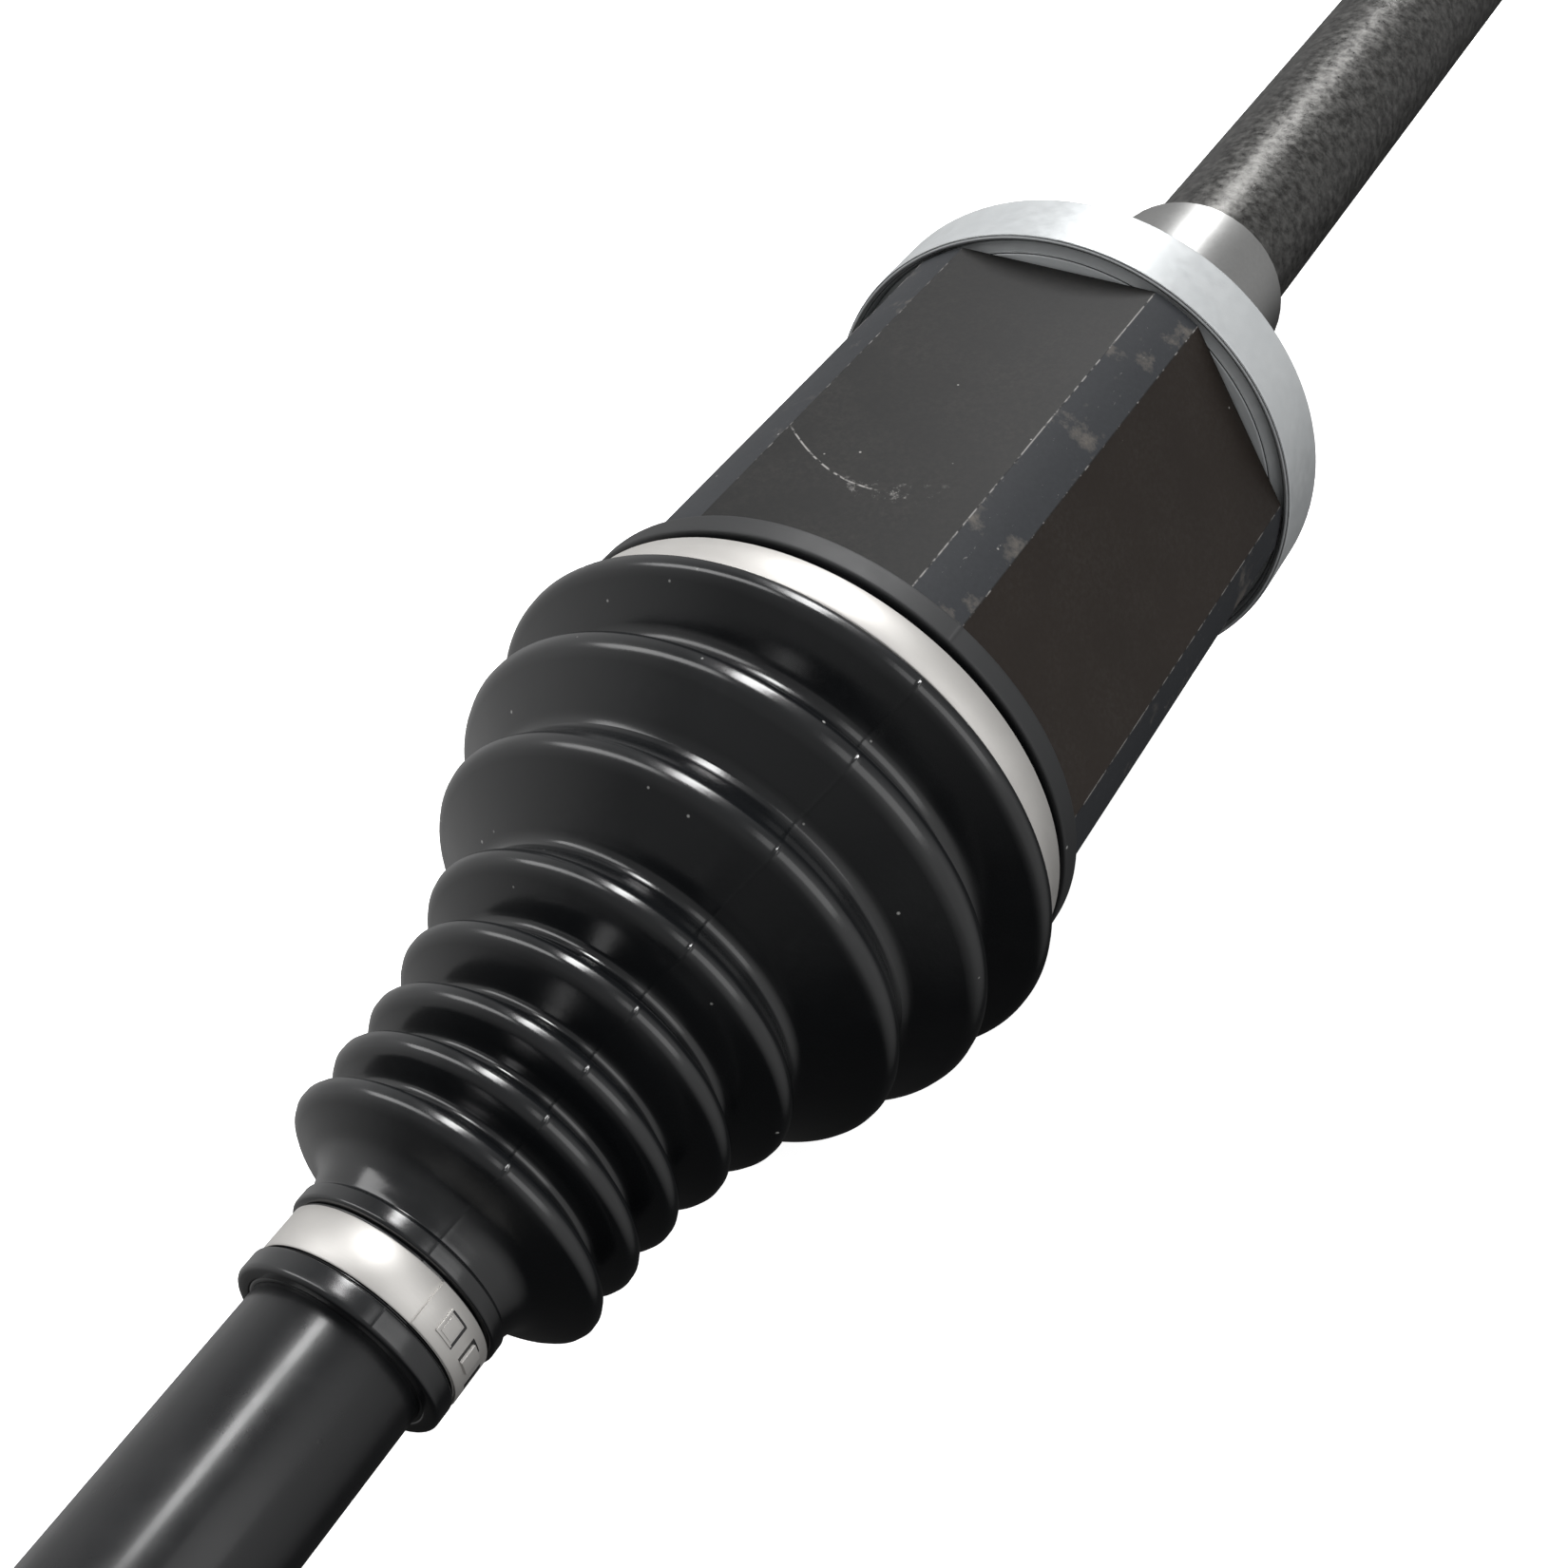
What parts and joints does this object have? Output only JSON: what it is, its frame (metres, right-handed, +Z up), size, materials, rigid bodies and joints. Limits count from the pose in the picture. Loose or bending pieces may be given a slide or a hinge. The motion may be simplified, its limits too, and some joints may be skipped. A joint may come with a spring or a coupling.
{
  "type": "cv axle",
  "caption": "Automotive drive half shaft with a plunging inner joint in a hexagonal housing, rubber bellows boots, a long stub shaft and a fixed outer joint.",
  "frame": {"origin": "centre of the bearing journal's shoulder, on the shaft line, where the support bearing seats against the back of the inner joint", "axes": "+X along the shaft line towards the wheel hub, +Z up through the middle of one flat of the hexagonal housing, +Y across"},
  "size_m": [0.928, 0.097, 0.097],
  "materials": {
    "dark_steel": "phosphated dark steel, satin, with light scuffs",
    "zinc": "bright blue-white zinc plating",
    "bright_steel": "ground hardened steel",
    "ball_steel": "polished bearing steel",
    "stainless": "smooth stainless band",
    "boot_rubber": "semi-gloss moulded black rubber",
    "painted_steel": "satin black paint"
  },
  "bodies": {
    "inner_joint_housing": {"inner_housing": "dark_steel", "dust_ring": "zinc", "inner_retaining_ring": "bright_steel", "stub_circlip": "bright_steel", "inner_clamp_large": "stainless"},
    "plunging_boot": {"inner_boot": "boot_rubber"},
    "inner_cage_set": {"inner_cage": "bright_steel", "inner_ball_1": "ball_steel", "inner_ball_2": "ball_steel", "inner_ball_3": "ball_steel", "inner_ball_4": "ball_steel", "inner_ball_5": "ball_steel", "inner_ball_6": "ball_steel"},
    "shaft": {"drive_shaft": "painted_steel", "inner_race": "bright_steel", "inner_race_clip": "bright_steel", "inner_clamp_small": "stainless", "outer_clamp_small": "stainless", "outer_boot": "boot_rubber", "outer_inner_race": "bright_steel", "outer_race_clip": "bright_steel"},
    "outer_cage_set": {"outer_cage": "bright_steel", "outer_ball_1": "ball_steel", "outer_ball_2": "ball_steel", "outer_ball_3": "ball_steel", "outer_ball_4": "ball_steel", "outer_ball_5": "ball_steel", "outer_ball_6": "ball_steel"},
    "outer_bell": {"outer_race": "dark_steel", "outer_clamp_large": "stainless"}
  },
  "joints": [
    {"name": "inner_plunge", "type": "slide", "parent": "inner_joint_housing", "child": "plunging_boot", "axis": [1, 0, 0], "range_m": [-0.017, 0.02], "deforming": ["inner_boot"]},
    {"name": "inner_bend", "type": "hinge", "parent": "plunging_boot", "child": "shaft", "pos_m": [0.075, 0, 0], "axis": [0, 0, 1], "range_deg": [-18, 18], "deforming": ["inner_boot"]},
    {"name": "inner_cage_tilt", "type": "hinge", "parent": "plunging_boot", "child": "inner_cage_set", "pos_m": [0.075, 0, 0], "axis": [0, 0, 1], "range_deg": [-9, 9]},
    {"name": "outer_bend", "type": "hinge", "parent": "shaft", "child": "outer_bell", "pos_m": [0.525, 0, 0], "axis": [0, 0, 1], "range_deg": [-42, 42], "deforming": ["outer_boot"]},
    {"name": "outer_cage_tilt", "type": "hinge", "parent": "shaft", "child": "outer_cage_set", "pos_m": [0.525, 0, 0], "axis": [0, 0, 1], "range_deg": [-21, 21]}
  ],
  "couplings": [
    {"joint": "inner_cage_tilt", "follows": "inner_bend", "ratio": 0.5},
    {"joint": "outer_cage_tilt", "follows": "outer_bend", "ratio": 0.5}
  ]
}
